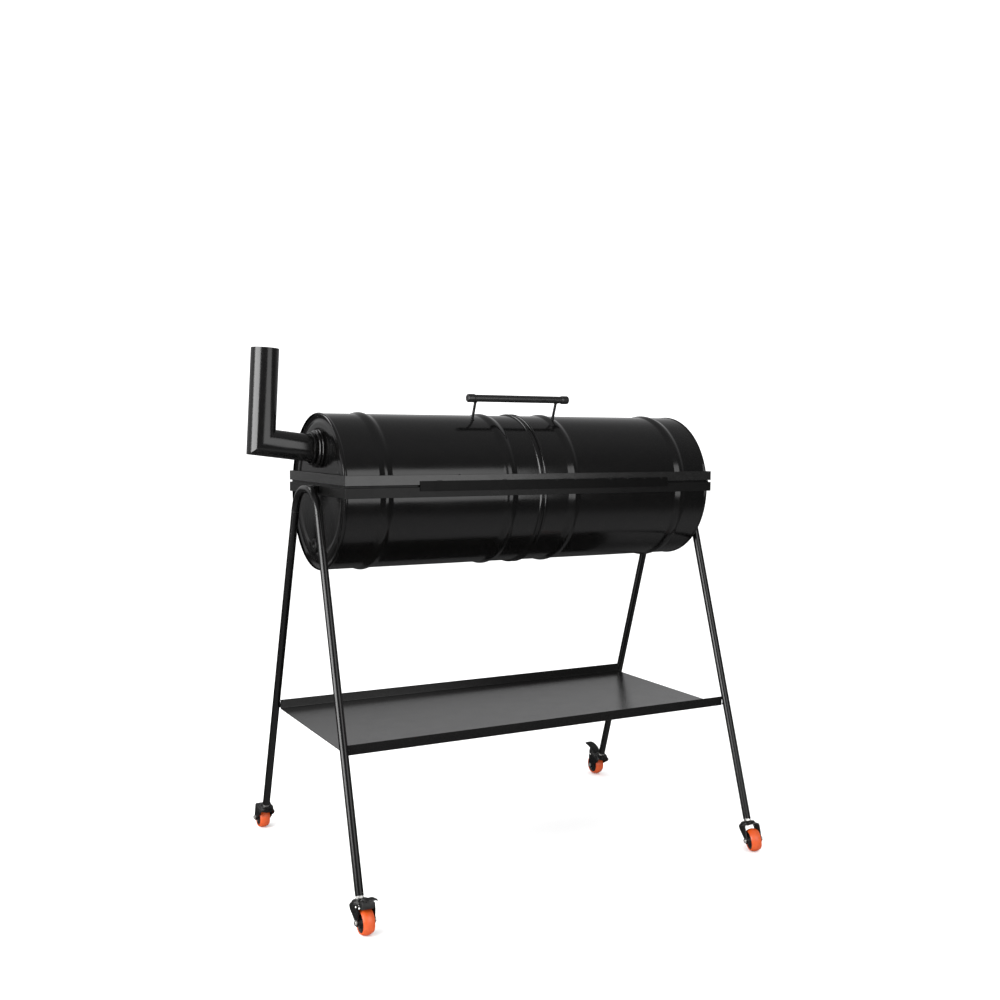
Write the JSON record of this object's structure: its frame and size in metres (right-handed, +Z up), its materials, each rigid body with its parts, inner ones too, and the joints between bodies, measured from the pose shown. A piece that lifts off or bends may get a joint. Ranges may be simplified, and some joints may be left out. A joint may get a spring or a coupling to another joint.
{
  "type": "barrel_charcoal_smoker",
  "caption": "Barrel charcoal smoker grill: a steel drum body split into lid and base, side chimney, lid handle, tube stand with shelf, swivel castors",
  "frame": {"origin": "bottom centre of the whole object's box, on the floor", "axes": "+X along the barrel away from the chimney, -Y the front with the handle, +Z up"},
  "size_m": [1.2954, 0.8752, 1.3195],
  "materials": {
    "gloss_enamel": "gloss black high-temperature enamel",
    "satin_paint": "satin black paint",
    "zinc_hardware": "zinc plate",
    "plated_wire": "plated steel wire",
    "plain_steel": "plain rolled steel",
    "black_plastic": "moulded black plastic",
    "orange_tread": "smooth polyurethane"
  },
  "bodies": {
    "frame": {"air_vent_ring": "satin_paint", "base_end_plate_left": "gloss_enamel", "base_end_plate_right": "gloss_enamel", "base_rim": "satin_paint", "base_shell_left": "gloss_enamel", "base_shell_right": "gloss_enamel", "castor_stem_back_left": "zinc_hardware", "castor_stem_back_right": "zinc_hardware", "castor_stem_front_left": "zinc_hardware", "castor_stem_front_right": "zinc_hardware", "grate_rail_back": "plain_steel", "grate_rail_front": "plain_steel", "hinge_leaf_base_left": "satin_paint", "hinge_leaf_base_right": "satin_paint", "hinge_pin_left": "zinc_hardware", "hinge_pin_right": "zinc_hardware", "leg_back_left": "gloss_enamel", "leg_back_right": "gloss_enamel", "leg_front_left": "gloss_enamel", "leg_front_right": "gloss_enamel", "shelf_tray": "satin_paint", "stand_arch_left": "gloss_enamel", "stand_arch_right": "gloss_enamel"},
    "lid": {"chimney_collar": "gloss_enamel", "chimney_pipe": "gloss_enamel", "front_closing_strip": "satin_paint", "handle_bar": "satin_paint", "handle_end_cap_left": "black_plastic", "handle_end_cap_right": "black_plastic", "handle_post_left": "satin_paint", "handle_post_right": "satin_paint", "hinge_leaf_lid_left": "satin_paint", "hinge_leaf_lid_right": "satin_paint", "lid_end_plate_left": "gloss_enamel", "lid_end_plate_right": "gloss_enamel", "lid_rim": "satin_paint", "lid_shell_left": "gloss_enamel", "lid_shell_right": "gloss_enamel"},
    "castor_back_left": {"axle_bolt_back_left": "zinc_hardware", "castor_fork_back_left": "gloss_enamel"},
    "castor_back_right": {"axle_bolt_back_right": "zinc_hardware", "castor_fork_back_right": "gloss_enamel"},
    "castor_front_left": {"axle_bolt_front_left": "zinc_hardware", "castor_fork_front_left": "gloss_enamel"},
    "castor_front_right": {"axle_bolt_front_right": "zinc_hardware", "castor_fork_front_right": "gloss_enamel"},
    "brake_back_right": {"brake_pedal_back_right": "gloss_enamel"},
    "brake_front_left": {"brake_pedal_front_left": "gloss_enamel"},
    "charcoal_grate": {"charcoal_grate": "plain_steel"},
    "cooking_grate_left": {"cooking_grate_left": "plated_wire"},
    "cooking_grate_right": {"cooking_grate_right": "plated_wire"},
    "wheel_back_left": {"wheel_hub_back_left": "black_plastic", "wheel_tread_back_left": "orange_tread"},
    "wheel_back_right": {"wheel_hub_back_right": "black_plastic", "wheel_tread_back_right": "orange_tread"},
    "wheel_front_left": {"wheel_hub_front_left": "black_plastic", "wheel_tread_front_left": "orange_tread"},
    "wheel_front_right": {"wheel_hub_front_right": "black_plastic", "wheel_tread_front_right": "orange_tread"}
  },
  "joints": [
    {"name": "lid_hinge", "type": "hinge", "parent": "frame", "child": "lid", "pos_m": [0.06185, 0.2146, 0.9872], "axis": [-1, 0, 0], "range_deg": [0, 95]},
    {"name": "castor_swivel_front_left", "type": "hinge", "parent": "frame", "child": "castor_front_left", "pos_m": [-0.49815, -0.35703, 0.07646], "axis": [0, 0.3055, 0.9522], "continuous": true},
    {"name": "wheel_spin_front_left", "type": "hinge", "parent": "castor_front_left", "child": "wheel_front_left", "pos_m": [-0.49815, -0.39288, 0.0302], "axis": [1, 0, 0], "continuous": true},
    {"name": "brake_press_front_left", "type": "hinge", "parent": "castor_front_left", "child": "brake_front_left", "pos_m": [-0.49815, -0.39186, 0.0661], "axis": [1, 0, 0], "range_deg": [0, 16]},
    {"name": "castor_swivel_front_right", "type": "hinge", "parent": "frame", "child": "castor_front_right", "pos_m": [0.62185, -0.35703, 0.07646], "axis": [0, 0.3055, 0.9522], "continuous": true},
    {"name": "wheel_spin_front_right", "type": "hinge", "parent": "castor_front_right", "child": "wheel_front_right", "pos_m": [0.61501, -0.39173, 0.02983], "axis": [0.9397, -0.3257, 0.1045], "continuous": true},
    {"name": "castor_swivel_back_left", "type": "hinge", "parent": "frame", "child": "castor_back_left", "pos_m": [-0.49815, 0.35703, 0.07646], "axis": [0, -0.3055, 0.9522], "continuous": true},
    {"name": "wheel_spin_back_left", "type": "hinge", "parent": "castor_back_left", "child": "wheel_back_left", "pos_m": [-0.49815, 0.39288, 0.0302], "axis": [-1, 0, 0], "continuous": true},
    {"name": "castor_swivel_back_right", "type": "hinge", "parent": "frame", "child": "castor_back_right", "pos_m": [0.62185, 0.35703, 0.07646], "axis": [0, -0.3055, 0.9522], "continuous": true},
    {"name": "wheel_spin_back_right", "type": "hinge", "parent": "castor_back_right", "child": "wheel_back_right", "pos_m": [0.62185, 0.39288, 0.0302], "axis": [-1, 0, 0], "continuous": true},
    {"name": "brake_press_back_right", "type": "hinge", "parent": "castor_back_right", "child": "brake_back_right", "pos_m": [0.62185, 0.39186, 0.0661], "axis": [-1, 0, 0], "range_deg": [0, 16]},
    {"name": "cooking_grate_left_lift", "type": "slide", "parent": "frame", "child": "cooking_grate_left", "axis": [0, 0, 1], "range_m": [0, 0.045]},
    {"name": "cooking_grate_right_lift", "type": "slide", "parent": "frame", "child": "cooking_grate_right", "axis": [0, 0, 1], "range_m": [0, 0.045]},
    {"name": "charcoal_grate_lift", "type": "slide", "parent": "frame", "child": "charcoal_grate", "axis": [0, 0, 1], "range_m": [0, 0.05]}
  ]
}
